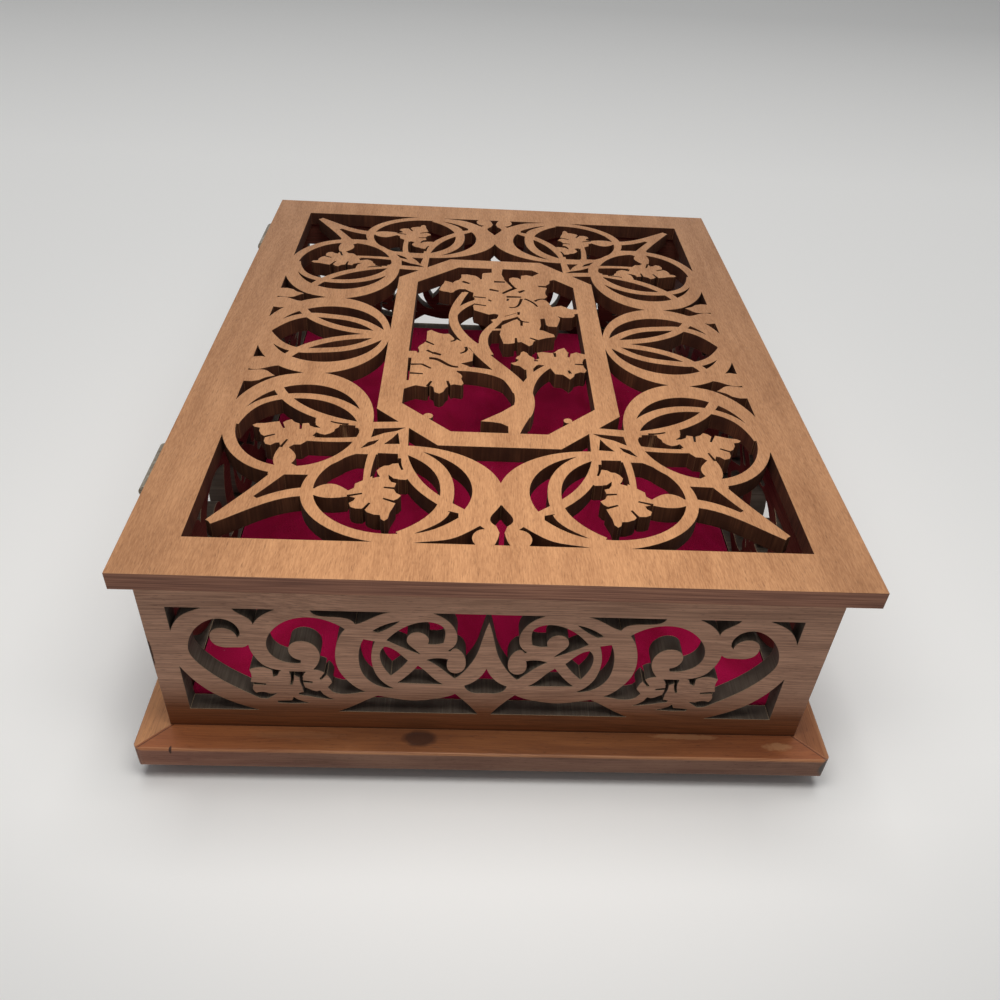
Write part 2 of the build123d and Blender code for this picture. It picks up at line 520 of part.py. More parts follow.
def end_wall(side):
    """The front wall for side -1 and the back wall for side 1, full width."""
    offset = front_window_offset if side < 0 else 0
    standing = Rot(90, 0, 0) * fretted_wall(box_width, front_stile, offset)
    turn = 0 if side < 0 else 180
    return Pos(0, side * inner_y, wall_base) * Rot(0, 0, turn) * standing


def side_wall(side):
    """The hinge side wall for side -1 and the opening side wall for side 1, between the ends."""
    standing = Rot(90, 0, 0) * fretted_wall(2 * inner_y, side_stile)
    wall = Pos(side * inner_x, 0, wall_base) * Rot(0, 0, side * 90) * standing
    if side < 0:
        for y in (hinge_front_place, hinge_back_place):
            gain = Box(wall_thickness, hinge_length + leaf_gap, 2 * leaf_thickness + leaf_gap,
                       align=(Align.MIN, Align.CENTER, Align.MAX))
            wall -= Pos(-wall_x, y, wall_top) * gain
        for x, y in screw_places():
            hole = Cylinder(screw_radius, wall_screw_length,
                            align=(Align.CENTER, Align.CENTER, Align.MAX))
            wall -= Pos(x, y, wall_top - leaf_thickness - leaf_gap) * hole
    return wall


def screw_places():
    """The middle of each hinge screw, on the middle line of the hinge side wall."""
    places = []
    for hinge_y in (hinge_front_place, hinge_back_place):
        for step in (-0.5, 0.5):
            places.append((-wall_x + wall_thickness / 2, hinge_y + step * screw_spacing))
    return places


def moulding_strip(length, reach):
    """A strip of base moulding along X, mitred, its outer edge at -reach along Y."""
    profile = Pos(-reach, moulding_base) * Rectangle(
        moulding_width, moulding_height, align=(Align.MIN, Align.MIN)
    )
    outer = profile.vertices().group_by(Axis.X)[0].sort_by(Axis.Y)
    profile = fillet(outer[0], moulding_round)
    top = profile.vertices().group_by(Axis.X)[0].sort_by(Axis.Y)[-1]
    profile = fillet(top, moulding_top_ease)
    strip = extrude(Plane.YZ * profile, length, both=True)
    inner = length - moulding_width
    mitre = Polyline((-length, -reach), (length, -reach), (inner, moulding_width - reach),
                     (-inner, moulding_width - reach), close=True)
    blank = extrude(make_face(mitre), moulding_base + moulding_height)
    return strip & blank


def moulding(side, along_x):
    """One strip of the mitred base frame, its outer corners rounded over."""
    length, reach = (base_x, base_y) if along_x else (base_y, base_x)
    strip = moulding_strip(length, reach)
    if along_x:
        turn = 0 if side < 0 else 180
    else:
        turn = -90 if side < 0 else 90
    strip = Rot(0, 0, turn) * strip
    plan = RectangleRounded(2 * base_x, 2 * base_y, moulding_corner_round)
    strip &= extrude(plan, moulding_base + moulding_height)
    for x, y in panel_pin_places():
        strip -= Pos(x, y, 0) * panel_pin()
    return strip


def bottom_board():
    """The thin board under the moulding, drilled for its panel pins."""
    size_x = base_x - bottom_board_setback
    size_y = base_y - bottom_board_setback
    board = Box(2 * size_x, 2 * size_y, bottom_board_thickness,
                align=(Align.CENTER, Align.CENTER, Align.MIN))
    for x, y in panel_pin_places():
        board -= Pos(x, y, 0) * panel_pin()
    return board


def panel_pin_places():
    """Panel pins round the edge of the bottom board, into the moulding above it."""
    pin_x = base_x - bottom_board_setback - panel_pin_edge
    pin_y = base_y - bottom_board_setback - panel_pin_edge
    places = []
    for i in range(panel_pins_per_end):
        x = -pin_x + 2 * pin_x * (i + 0.5) / panel_pins_per_end
        places += [(x, -pin_y), (x, pin_y)]
    for i in range(panel_pins_per_side):
        y = -pin_y + 2 * pin_y * (i + 0.5) / panel_pins_per_side
        places += [(-pin_x, y), (pin_x, y)]
    return places


def panel_pin():
    """A small nail, head down and flush with the underside of the board."""
    head = Cylinder(panel_pin_head_radius, panel_pin_head_height,
                    align=(Align.CENTER, Align.CENTER, Align.MIN))
    shank = Cylinder(panel_pin_radius, panel_pin_length,
                     align=(Align.CENTER, Align.CENTER, Align.MIN))
    return head + shank


def floor_slab(thickness):
    """A flat board or lining that drops in between the walls."""
    return Box(2 * (inner_x - floor_gap), 2 * (inner_y - floor_gap), thickness,
               align=(Align.CENTER, Align.CENTER, Align.MIN))


def hinge_leaf(upper):
    """A hinge leaf about its pin, along Y. The lower leaf has the two end knuckles."""
    reach = -wall_x + wall_thickness - leaf_edge_margin - hinge_x
    low = leaf_gap / 2 if upper else -leaf_gap / 2 - leaf_thickness
    plate = Pos(reach / 2, 0, low + leaf_thickness / 2) * Box(reach, hinge_length, leaf_thickness)
    third = hinge_length / 3
    lengths = [third - knuckle_gap] if upper else [third, third]
    middles = [0.0] if upper else [-third, third]
    leaf_solid = plate
    for y, length in zip(middles, lengths):
        leaf_solid += Pos(0, y, 0) * Rot(90, 0, 0) * Cylinder(barrel_radius, length)
    clear = barrel_radius + barrel_clearance
    others = [-third, third] if upper else [0.0]
    for y in others:
        room = Pos(0, y, 0) * Rot(90, 0, 0) * Cylinder(clear, third + knuckle_gap)
        leaf_solid -= room
    bore = Rot(90, 0, 0) * Cylinder(pin_radius + pin_clearance, hinge_length)
    leaf_solid -= bore
    for step in (-0.5, 0.5):
        face = low if upper else low + leaf_thickness
        middle_x = -wall_x + wall_thickness / 2 - hinge_x
        leaf_solid -= Pos(middle_x, step * screw_spacing, face) * screw(upper, leaf_thickness)
    return leaf_solid


def screw(upper, length):
    """A countersunk screw, its head flush at the origin, pointing up or down."""
    head = Cone(screw_head_radius, screw_radius, leaf_thickness,
                align=(Align.CENTER, Align.CENTER, Align.MIN))
    shank = Cylinder(screw_radius, length, align=(Align.CENTER, Align.CENTER, Align.MIN))
    body = head + shank
    return body if upper else Rot(180, 0, 0) * body


def hinge_pin():
    """The pin through the knuckles, with a small head at each end."""
    pin = Cylinder(pin_radius, hinge_length + 2 * pin_head_length)
    head = Cylinder(pin_head_radius, pin_head_length,
                    align=(Align.CENTER, Align.CENTER, Align.MIN))
    pin += Pos(0, 0, hinge_length / 2) * head
    pin += Pos(0, 0, -hinge_length / 2 - pin_head_length) * head
    return Rot(90, 0, 0) * pin


def screw_group(upper):
    """The four screws of the lid's leaves or of the wall's leaves."""
    length = lid_screw_length if upper else wall_screw_length
    face = hinge_z + leaf_gap / 2 if upper else hinge_z - leaf_gap / 2
    return Compound([Pos(x, y, face) * screw(upper, length) for x, y in screw_places()])


def save(shape, node):
    export_step(shape, "parts/" + node + ".step")


os.makedirs("parts", exist_ok=True)

save(bottom_board(), "bottom_board")
save(Compound([Pos(x, y, 0) * panel_pin() for x, y in panel_pin_places()]), "bottom_board_pins")
save(moulding(-1, True), "moulding_front")
save(moulding(1, True), "moulding_back")
save(moulding(-1, False), "moulding_hinge_side")
save(moulding(1, False), "moulding_opening_side")
save(end_wall(-1), "wall_front")
save(end_wall(1), "wall_back")
save(side_wall(-1), "wall_hinge_side")
save(side_wall(1), "wall_opening_side")
save(Pos(0, 0, wall_base) * floor_slab(floor_board_thickness), "floor_board")
save(Pos(0, 0, wall_base + floor_board_thickness) * floor_slab(velvet_thickness), "velvet_lining")
for place_name, place_y in (("front", hinge_front_place), ("back", hinge_back_place)):
    seat = Pos(hinge_x, place_y, hinge_z)
    save(seat * hinge_leaf(False), "hinge_" + place_name + "_wall_leaf")
    save(seat * hinge_leaf(True), "hinge_" + place_name + "_lid_leaf")
    save(seat * hinge_pin(), "hinge_" + place_name + "_pin")
save(screw_group(False), "hinge_screws_wall")
save(screw_group(True), "hinge_screws_lid")
save(lid_panel(), "lid_panel")
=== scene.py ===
from math import pi, radians, sin

import bmesh
import bpy
from mathutils import Matrix, Vector, noise as field


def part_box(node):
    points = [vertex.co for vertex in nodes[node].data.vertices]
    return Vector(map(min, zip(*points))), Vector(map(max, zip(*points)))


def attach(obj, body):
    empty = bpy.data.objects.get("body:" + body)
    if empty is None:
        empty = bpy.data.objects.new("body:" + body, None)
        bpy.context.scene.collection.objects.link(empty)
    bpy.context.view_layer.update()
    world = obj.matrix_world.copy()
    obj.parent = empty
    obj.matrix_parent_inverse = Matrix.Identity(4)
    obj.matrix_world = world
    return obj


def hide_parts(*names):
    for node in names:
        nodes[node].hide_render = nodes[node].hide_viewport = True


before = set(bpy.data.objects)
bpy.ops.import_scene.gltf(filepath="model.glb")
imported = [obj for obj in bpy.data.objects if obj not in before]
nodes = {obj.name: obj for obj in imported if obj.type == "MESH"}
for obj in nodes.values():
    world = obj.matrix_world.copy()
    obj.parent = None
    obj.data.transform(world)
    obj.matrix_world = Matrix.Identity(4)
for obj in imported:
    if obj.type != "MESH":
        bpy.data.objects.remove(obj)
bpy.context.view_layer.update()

scene = bpy.context.scene
MM = 0.001


# Camera and studio
# A small camera close in front of the box and above it, so its front corners spread wide.
# The box stands on a pale sheet, a little darker at both ends, lit by a window above and behind it
# and by a weak lamp close over its front.

CAMERA_PLACE = (-11.4 * MM, -340.3 * MM, 276.85 * MM)
CAMERA_TURN = (radians(51.495), radians(-2.874), radians(-0.84))
FILM_WIDTH = 36.0
LENS_LENGTH = 32.34
CAMERA_NEAREST = 10 * MM

camera_data = bpy.data.cameras.new("camera")
camera_data.sensor_width = FILM_WIDTH
camera_data.lens = LENS_LENGTH
camera_data.clip_start = CAMERA_NEAREST
camera = bpy.data.objects.new("camera", camera_data)
camera.location = CAMERA_PLACE
camera.rotation_euler = CAMERA_TURN
scene.collection.objects.link(camera)
scene.camera = camera
scene.view_settings.view_transform = "Standard"

LIGHTS_AIM = Vector((0, 0, 50 * MM))
STUDIO_LIGHTS = {
    "window_above": dict(place=(0.05, 0.32, 2.9), size=1.6, watts=44.0, colour=(1.0, 0.985, 0.965)),
    "lamp_over_front": dict(place=(0.0, -0.165, 0.295), size=0.14, watts=0.35, colour=(1.0, 0.97, 0.93)),
}
ROOM_LIGHT = 0.17
ROOM_COLOUR = (0.97, 0.985, 1.0, 1.0)
ROOM_SEEN = (0.80, 0.81, 0.81, 1)

for name, light in STUDIO_LIGHTS.items():
    lamp_data = bpy.data.lights.new(name, "AREA")
    lamp_data.shape = "SQUARE"
    lamp_data.size = light["size"]
    lamp_data.energy = light["watts"]
    lamp_data.color = light["colour"]
    lamp = bpy.data.objects.new(name, lamp_data)
    lamp.location = light["place"]
    aim = LIGHTS_AIM - lamp.location
    lamp.rotation_euler = aim.to_track_quat("-Z", "Y").to_euler()
    scene.collection.objects.link(lamp)


def put(tree, kind, inputs=None, **settings):
    """Add a shader node, set its options, and set or link its inputs by name or number."""
    node = tree.nodes.new(kind)
    for option, value in settings.items():
        setattr(node, option, value)
    for socket, value in (inputs or {}).items():
        if isinstance(value, bpy.types.NodeSocket):
            tree.links.new(value, node.inputs[socket])
        else:
            node.inputs[socket].default_value = value
    return node


def maths(tree, operation, a, b=0.0, clamp=False):
    node = put(tree, "ShaderNodeMath", {0: a, 1: b}, operation=operation, use_clamp=clamp)
    return node.outputs[0]


def mixed(tree, factor, a, b, mode="MIX"):
    """A colour between a and b."""
    node = put(tree, "ShaderNodeMix", {0: factor, 6: a, 7: b}, data_type="RGBA", blend_type=mode)
    return node.outputs[2]


def stretched(tree, value, low, high, to_low=0.0, to_high=1.0):
    """Spread the values from low to high over a new range, and hold what lies outside."""
    node = put(tree, "ShaderNodeMapRange",
               {"Value": value, "From Min": low, "From Max": high,
                "To Min": to_low, "To Max": to_high})
    return node.outputs["Result"]


def seen_directly(tree):
    """One where the camera, a mirror or a glass looks at it, and nought where light leaves it."""
    path = put(tree, "ShaderNodeLightPath")
    seen = maths(tree, "MAXIMUM", path.outputs["Is Camera Ray"], path.outputs["Is Glossy Ray"])
    return maths(tree, "MAXIMUM", seen, path.outputs["Is Transmission Ray"])


def new_material(name):
    """A material with its Principled shader, ready for inputs."""
    material = bpy.data.materials.new(name)
    material.use_nodes = True
    return material, material.node_tree, material.node_tree.nodes["Principled BSDF"]


world = bpy.data.worlds.new("room")
scene.world = world
world.use_nodes = True
room = world.node_tree
room.nodes.clear()
room_light = put(room, "ShaderNodeBackground", {"Color": ROOM_COLOUR, "Strength": ROOM_LIGHT})
room_seen = put(room, "ShaderNodeBackground", {"Color": ROOM_SEEN, "Strength": 1.0})
room_mix = put(room, "ShaderNodeMixShader",
               {0: seen_directly(room), 1: room_light.outputs[0], 2: room_seen.outputs[0]})
put(room, "ShaderNodeOutputWorld", {"Surface": room_mix.outputs[0]})

TABLE_SIZE = 8.0
TABLE_SEEN = (0.97, 0.975, 0.97, 1)
TABLE_SHADE = (0.72, 0.725, 0.725, 1)
TABLE_FRONT_SHADE = (-0.14, -0.30)
TABLE_BACK_SHADE = (0.5, 1.3)
TABLE_BOUNCE = (0.55, 0.55, 0.55, 1)
bpy.ops.object.select_all(action="DESELECT")
bpy.ops.mesh.primitive_plane_add(size=TABLE_SIZE)
table = bpy.context.object
table.name = "table"
table_paper, table_tree, table_shader = new_material("table_paper")
table_place = put(table_tree, "ShaderNodeTexCoord").outputs["Object"]
table_y = put(table_tree, "ShaderNodeSeparateXYZ", {0: table_place}).outputs["Y"]
table_shade = maths(table_tree, "MAXIMUM", stretched(table_tree, table_y, *TABLE_FRONT_SHADE),
                    stretched(table_tree, table_y, *TABLE_BACK_SHADE))
table_seen = mixed(table_tree, table_shade, TABLE_SEEN, TABLE_SHADE)
table_tone = mixed(table_tree, seen_directly(table_tree), TABLE_BOUNCE, table_seen)
table_tree.links.new(table_tone, table_shader.inputs["Base Color"])
table_shader.inputs["Roughness"].default_value = 0.9
table_shader.inputs["Specular IOR Level"].default_value = 0.1
table.data.materials.append(table_paper)


# Lid
# One quarter-inch board, its grain from front to back, with the whole fret sawn out of it.
# The top is sanded and oiled to a warm tan, and the sawn walls of the fret are dark brown.

def group_tree(name, inputs, outputs):
    """An empty shader node group with named inputs and outputs."""
    tree = bpy.data.node_groups.new(name, "ShaderNodeTree")
    for socket, kind in inputs:
        tree.interface.new_socket(socket, in_out="INPUT", socket_type=kind)
    for socket, kind in outputs:
        tree.interface.new_socket(socket, in_out="OUTPUT", socket_type=kind)
    return tree, put(tree, "NodeGroupInput"), put(tree, "NodeGroupOutput")


def scaled(tree, vector, scale):
    node = put(tree, "ShaderNodeMapping", {"Vector": vector, "Scale": scale})
    return node.outputs[0]


def noise(tree, vector, detail=3.0, roughness=0.55, distortion=0.0):
    """A noise of about one lump to each unit of its vector."""
    node = put(tree, "ShaderNodeTexNoise",
               {"Vector": vector, "Scale": 1.0, "Detail": detail, "Roughness": roughness,
                "Distortion": distortion})
    return node.outputs[0]


# Each part's lumps to a metre along and across the grain, the detail, roughness and distortion of its
# noise, and the values of the noise that are spread from nought to one
WOOD_FIGURE_PARTS = {
    "Fibres": ((300, 2000, 2000), (4, 0.62, 0.3), (0.38, 0.62)),
    "Lines": ((32, 2100, 2100), (4, 0.6), (0.39, 0.61)),
    "Streaks": ((13, 170, 170), (3, 0.55, 0.4), (0.36, 0.66)),
    "Clouds": ((26, 70, 70), (3, 0.5, 0.6), (0.33, 0.67)),
    "Pores": ((330, 2600, 2600), (1, 0.5), (0.62, 0.74)),
}
GRAIN_SWAY = 9 * MM


def wood_figure_group():
    """The figure of a board whose grain runs along X, in metres.

    Fibres are short strokes, Lines are long and thin, Streaks are broad and Clouds have no
    direction. Pores are small dark pits.
    """
    tree, given, result = group_tree(
        "wood_figure", [("Vector", "NodeSocketVector")],
        [(part, "NodeSocketFloat") for part in WOOD_FIGURE_PARTS],
    )
    place = given.outputs["Vector"]
    sway = noise(tree, scaled(tree, place, (9, 14, 14)), 2, 0.5)
    sway = maths(tree, "MULTIPLY", maths(tree, "SUBTRACT", sway, 0.5), GRAIN_SWAY)
    sway = put(tree, "ShaderNodeCombineXYZ", {1: sway, 2: sway}).outputs[0]
    place = put(tree, "ShaderNodeVectorMath", {0: place, 1: sway}, operation="ADD").outputs[0]
    for part, (lumps, grit, spread) in WOOD_FIGURE_PARTS.items():
        value = noise(tree, scaled(tree, place, lumps), *grit)
        tree.links.new(stretched(tree, value, *spread), result.inputs[part])
    return tree


def saw_marks_group():
    """Strokes left by a scroll saw blade, running along X, in metres."""
    tree, given, result = group_tree(
        "saw_marks", [("Vector", "NodeSocketVector")],
        [("Strokes", "NodeSocketFloat"), ("Scorch", "NodeSocketFloat")],
    )
    place = given.outputs["Vector"]
    strokes = noise(tree, scaled(tree, place, (45, 1400, 1400)), 3, 0.6)
    scorch = noise(tree, scaled(tree, place, (60, 150, 150)), 2, 0.5)
    tree.links.new(stretched(tree, strokes, 0.28, 0.78), result.inputs["Strokes"])
    tree.links.new(stretched(tree, scorch, 0.33, 0.68), result.inputs["Scorch"])
    return tree


def edge_group():
    """One along a sharp outer or inner edge, and nought on the flat, for an edge of this width."""
    tree, given, result = group_tree(
        "board_edges", [("Width", "NodeSocketFloat")],
        [("Edge", "NodeSocketFloat"), ("Normal", "NodeSocketVector")],
    )
    rounded = put(tree, "ShaderNodeBevel", {"Radius": given.outputs["Width"]}, samples=6)
    flat = put(tree, "ShaderNodeNewGeometry").outputs["Normal"]
    same = put(tree, "ShaderNodeVectorMath", {0: rounded.outputs[0], 1: flat},
               operation="DOT_PRODUCT").outputs["Value"]
    tree.links.new(stretched(tree, same, 0.995, 0.86), result.inputs["Edge"])
    tree.links.new(rounded.outputs[0], result.inputs["Normal"])
    return tree


WOOD_FIGURE = wood_figure_group()
SAW_MARKS = saw_marks_group()
BOARD_EDGES = edge_group()
FACING = 0.7
EDGE_WIDTH = 0.4 * MM
GRAIN_TURN = {"X": (0, 0, 0), "Y": (0, 0, radians(90)), "Z": (0, radians(90), 0)}


def turned(tree, vector, axis):
    """Turn a pattern that runs along X so that it runs along another axis."""
    node = put(tree, "ShaderNodeMapping", {"Vector": vector, "Rotation": GRAIN_TURN[axis]})
    return node.outputs[0]


def shaded(colour, share):
    return tuple(part * share for part in colour[:3]) + (1,)


class Board:
    """A sawn board's material, to which a section adds the marks of its own piece.

    grain is the axis of the fibres and face the axis through the board. mix says how much each
    part of the figure counts. cuts are the dark and light tones of the sawn walls.
    """

    def __init__(self, name, grain, face, dark, light, cuts, mix, shift=(0, 0, 0)):
        self.material, self.tree, self.shader = new_material(name)
        tree = self.tree
        self.shader.inputs["Specular IOR Level"].default_value = 0.25
        coordinates = put(tree, "ShaderNodeTexCoord")
        self.place = coordinates.outputs["Object"]
        moved = put(tree, "ShaderNodeMapping", {"Vector": self.place, "Location": shift}).outputs[0]
        spot = put(tree, "ShaderNodeSeparateXYZ", {0: self.place})
        self.x, self.y, self.z = spot.outputs
        self.figure = put(tree, "ShaderNodeGroup", node_tree=WOOD_FIGURE)
        tree.links.new(turned(tree, moved, grain), self.figure.inputs["Vector"])
        self.marks = put(tree, "ShaderNodeGroup", node_tree=SAW_MARKS)
        tree.links.new(turned(tree, moved, face), self.marks.inputs["Vector"])
        self.edges = put(tree, "ShaderNodeGroup", {"Width": EDGE_WIDTH}, node_tree=BOARD_EDGES)
        normal = put(tree, "ShaderNodeSeparateXYZ", {0: coordinates.outputs["Normal"]})
        self.facing = normal.outputs[face]
        self.is_side = maths(tree, "LESS_THAN", maths(tree, "ABSOLUTE", self.facing), FACING)
        self.normal_z = normal.outputs["Z"]

        tone = None
        for part, share in mix.items():
            piece = maths(tree, "MULTIPLY", self.figure.outputs[part], share)
            tone = piece if tone is None else maths(tree, "ADD", tone, piece)
        self.tone = tone
        self.colour = mixed(tree, tone, dark, light)
        self.paint(self.figure.outputs["Pores"], shaded(dark, 0.4), strength=0.4)
        self.face_colour = self.colour
        cut_dark, cut_light = cuts
        strokes = maths(tree, "MULTIPLY", self.marks.outputs["Strokes"], self.marks.outputs["Scorch"])
        self.cut_colour = mixed(tree, strokes, cut_dark, cut_light)
        self.paint(self.is_side, self.cut_colour)

    def paint(self, mask, colour, mode="MIX", strength=1.0):
        """Lay a colour over the board where the mask is one, as much as its strength says."""
        if strength < 1:
            mask = maths(self.tree, "MULTIPLY", mask, strength)
        self.colour = mixed(self.tree, mask, self.colour, colour, mode)

    def beyond(self, axis, middle, reach):
        """One outside a distance from the middle, along one axis."""
        offset = maths(self.tree, "SUBTRACT", getattr(self, axis.lower()), middle)
        return maths(self.tree, "GREATER_THAN", maths(self.tree, "ABSOLUTE", offset), reach)

    def blot(self, centre, reach, ragged=0.35, lump=260.0):
        """One inside an uneven oval round a point, fading at its rim. Sizes are in metres."""
        tree = self.tree
        parts = [getattr(self, axis) for axis in "xyz"]
        total = None
        for part, middle, half in zip(parts, centre, reach):
            share = maths(tree, "DIVIDE", maths(tree, "SUBTRACT", part, middle), half)
            square = maths(tree, "MULTIPLY", share, share)
            total = square if total is None else maths(tree, "ADD", total, square)
        rough = noise(tree, scaled(tree, self.place, (lump, lump, lump)), 3, 0.6)
        rough = maths(tree, "MULTIPLY", maths(tree, "SUBTRACT", rough, 0.5), 4 * ragged)
        return stretched(tree, maths(tree, "ADD", total, rough), 1.25, 0.55)

    def settle(self, roughness, relief=0.08 * MM):
        """Link the colour, gloss and relief, and give back the material."""
        tree = self.tree
        tree.links.new(self.colour, self.shader.inputs["Base Color"])
        gloss = stretched(tree, self.tone, 0, 1, roughness + 0.07, roughness - 0.07)
        gloss = maths(tree, "ADD", gloss, maths(tree, "MULTIPLY", self.is_side, 0.22), clamp=True)
        tree.links.new(gloss, self.shader.inputs["Roughness"])
        height = maths(tree, "SUBTRACT", self.tone, self.figure.outputs["Pores"])
        height = put(tree, "ShaderNodeMix",
                     {0: self.is_side, 2: height, 3: self.marks.outputs["Strokes"]})
        bump = put(tree, "ShaderNodeBump",
                   {"Strength": 0.5, "Distance": relief, "Height": height.outputs[0],
                    "Normal": self.edges.outputs["Normal"]})
        tree.links.new(bump.outputs[0], self.shader.inputs["Normal"])
        return self.material


def dress(node, material):
    """Give a piece of the frame its material."""
    piece = nodes[node]
    piece.data.materials.clear()
    piece.data.materials.append(material)


LID_LIGHT = (0.600, 0.302, 0.139, 1)
LID_DARK = (0.325, 0.143, 0.059, 1)
LID_CUTS = ((0.040, 0.011, 0.004, 1), (0.160, 0.058, 0.025, 1))
LID_END_DARK = (0.215, 0.097, 0.068, 1)
LID_END_LIGHT = (0.470, 0.225, 0.143, 1)
LID_END_LUMPS = (28, 28, 1700)
LID_EDGE_WEAR_AND_HIGHLIGHT = (0.56, 0.30, 0.145, 1)
LID_RIM = 1.0 * MM
LID_SIDE_SHADE = (0.82, 0.82, 0.84, 1)
LID_SIDE_SHADE_FROM = 62 * MM
LID_SIDE_SHADE_TO = 105 * MM

lid_low, lid_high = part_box("lid_panel")
lid_middle = (lid_low + lid_high) / 2
lid_reach = (lid_high - lid_low) / 2
lid = Board("lid_wood", "Y", "Z", LID_DARK, LID_LIGHT, LID_CUTS,
            {"Fibres": 0.44, "Streaks": 0.29, "Clouds": 0.27})
lid_outward = maths(lid.tree, "ABSOLUTE", maths(lid.tree, "SUBTRACT", lid.x, lid_middle.x))
# Painted shade: the lid is darkened towards its left and right sides, where less light falls.
lid.paint(stretched(lid.tree, lid_outward, LID_SIDE_SHADE_FROM, LID_SIDE_SHADE_TO), LID_SIDE_SHADE, "MULTIPLY")
lid_ends = lid.beyond("Y", lid_middle.y, lid_reach.y - LID_RIM)
lid_sides = lid.beyond("X", lid_middle.x, lid_reach.x - LID_RIM)
lid_rim = maths(lid.tree, "MULTIPLY", lid.is_side, maths(lid.tree, "MAXIMUM", lid_ends, lid_sides))
end_lines = noise(lid.tree, scaled(lid.tree, lid.place, LID_END_LUMPS), 3, 0.6)
end_tone = stretched(lid.tree, end_lines, 0.36, 0.66)
lid.paint(lid_rim, mixed(lid.tree, end_tone, LID_END_DARK, LID_END_LIGHT))
# The edges are painted lighter, partly as wear and partly as a painted highlight where light catches
# them.
lid.paint(lid.edges.outputs["Edge"], LID_EDGE_WEAR_AND_HIGHLIGHT, strength=0.35)
dress("lid_panel", lid.settle(roughness=0.50))


# Walls
# Four quarter-inch boards, their grain along them. The front and back are as wide as the box,
# and the two long walls stand between them, glued end to face. The faces are painted darker and
# more golden towards the foot as painted shade, and the front's left edge is chipped.

WALL_LIGHT = (0.74, 0.413, 0.272, 1)
WALL_DARK = (0.335, 0.174, 0.111, 1)
WALL_CUTS = ((0.088, 0.066, 0.052, 1), (0.235, 0.190, 0.145, 1))
WALL_INSIDE_SHADE = (0.22, 0.14, 0.13, 1)
WALL_FOOT_SHADE = (0.150, 0.038, 0.0045, 1)
WALL_FOOT_SHADE_LOW = 26 * MM
WALL_FOOT_SHADE_HIGH = 40 * MM
WALL_JOINT = (0.05, 0.018, 0.008, 1)
WALL_JOINT_HEIGHT = (1.1 * MM, 0.3 * MM)
WALL_EDGE_WEAR_AND_HIGHLIGHT = (0.45, 0.30, 0.19, 1)
WALL_LEDGE_HIGHLIGHT = (0.62, 0.46, 0.28, 1)
WALL_RIM = 1.0 * MM
WALL_CHIP_CENTRE = (-109.9 * MM, -143.0 * MM, 53 * MM)
WALL_CHIP_REACH = (0.7 * MM, 1.0 * MM, 6 * MM)

for node, grain, face, inward in (
    ("wall_front", "X", "Y", 1), ("wall_back", "X", "Y", -1),
    ("wall_hinge_side", "Y", "X", 1), ("wall_opening_side", "Y", "X", -1),
):
    low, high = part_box(node)
    centre = (low + high) / 2
    half = (high - low) / 2
    wall = Board(node + "_wood", grain, face, WALL_DARK, WALL_LIGHT, WALL_CUTS,
                 {"Lines": 0.56, "Streaks": 0.24, "Clouds": 0.22}, shift=tuple(centre * 3))
    tree = wall.tree
    ends = wall.beyond(grain, getattr(centre, grain.lower()), getattr(half, grain.lower()) - WALL_RIM)
    tops = wall.beyond("Z", centre.z, half.z - WALL_RIM)
    rim = maths(tree, "MULTIPLY", wall.is_side, maths(tree, "MAXIMUM", ends, tops))
    wall.paint(rim, wall.face_colour)
    # Painted shade: the faces turn darker and more golden towards the foot.
    foot_shade = stretched(tree, wall.z, WALL_FOOT_SHADE_HIGH, WALL_FOOT_SHADE_LOW)
    faces = maths(tree, "SUBTRACT", 1.0, wall.is_side)
    foot_shade_tone = mixed(tree, wall.tone, shaded(WALL_FOOT_SHADE, 0.6), shaded(WALL_FOOT_SHADE, 1.5))
    wall.paint(maths(tree, "MULTIPLY", foot_shade, faces), foot_shade_tone, strength=0.92)
    # Painted shade: the faces turned into the box are darkened where the shade inside it falls.
    inside_shade = maths(tree, "GREATER_THAN", maths(tree, "MULTIPLY", wall.facing, inward), FACING)
    wall.paint(inside_shade, WALL_INSIDE_SHADE, "MULTIPLY")
    joint = stretched(tree, wall.z, *(low.z + height for height in WALL_JOINT_HEIGHT))
    wall.paint(joint, WALL_JOINT, strength=0.8)
    # The edges are painted lighter, partly as wear and partly as a painted highlight where light catches
    # them.
    wall.paint(wall.edges.outputs["Edge"], WALL_EDGE_WEAR_AND_HIGHLIGHT, strength=0.4)
    # Painted highlight: edges facing up, such as the front edge of each ledge, are painted pale where
    # light from above catches them.
    ledge_highlight = stretched(tree, wall.normal_z, 0.3, 0.8)
    wall.paint(maths(tree, "MULTIPLY", ledge_highlight, wall.edges.outputs["Edge"]), WALL_LEDGE_HIGHLIGHT)
    if node == "wall_front":
        wall.paint(wall.blot(WALL_CHIP_CENTRE, WALL_CHIP_REACH, 0.5, 500.0), WALL_JOINT)
    dress(node, wall.settle(roughness=0.55))


# Base moulding
# Four strips of red-brown pine, mitred at the corners and rounded under the outer edge. The front
# strip has a dark knot, worn patches and a nick in its top edge. The hinge side strip is painted paler
# and the front strip's ends lighter as painted light, and the upright faces greyer as painted shade.

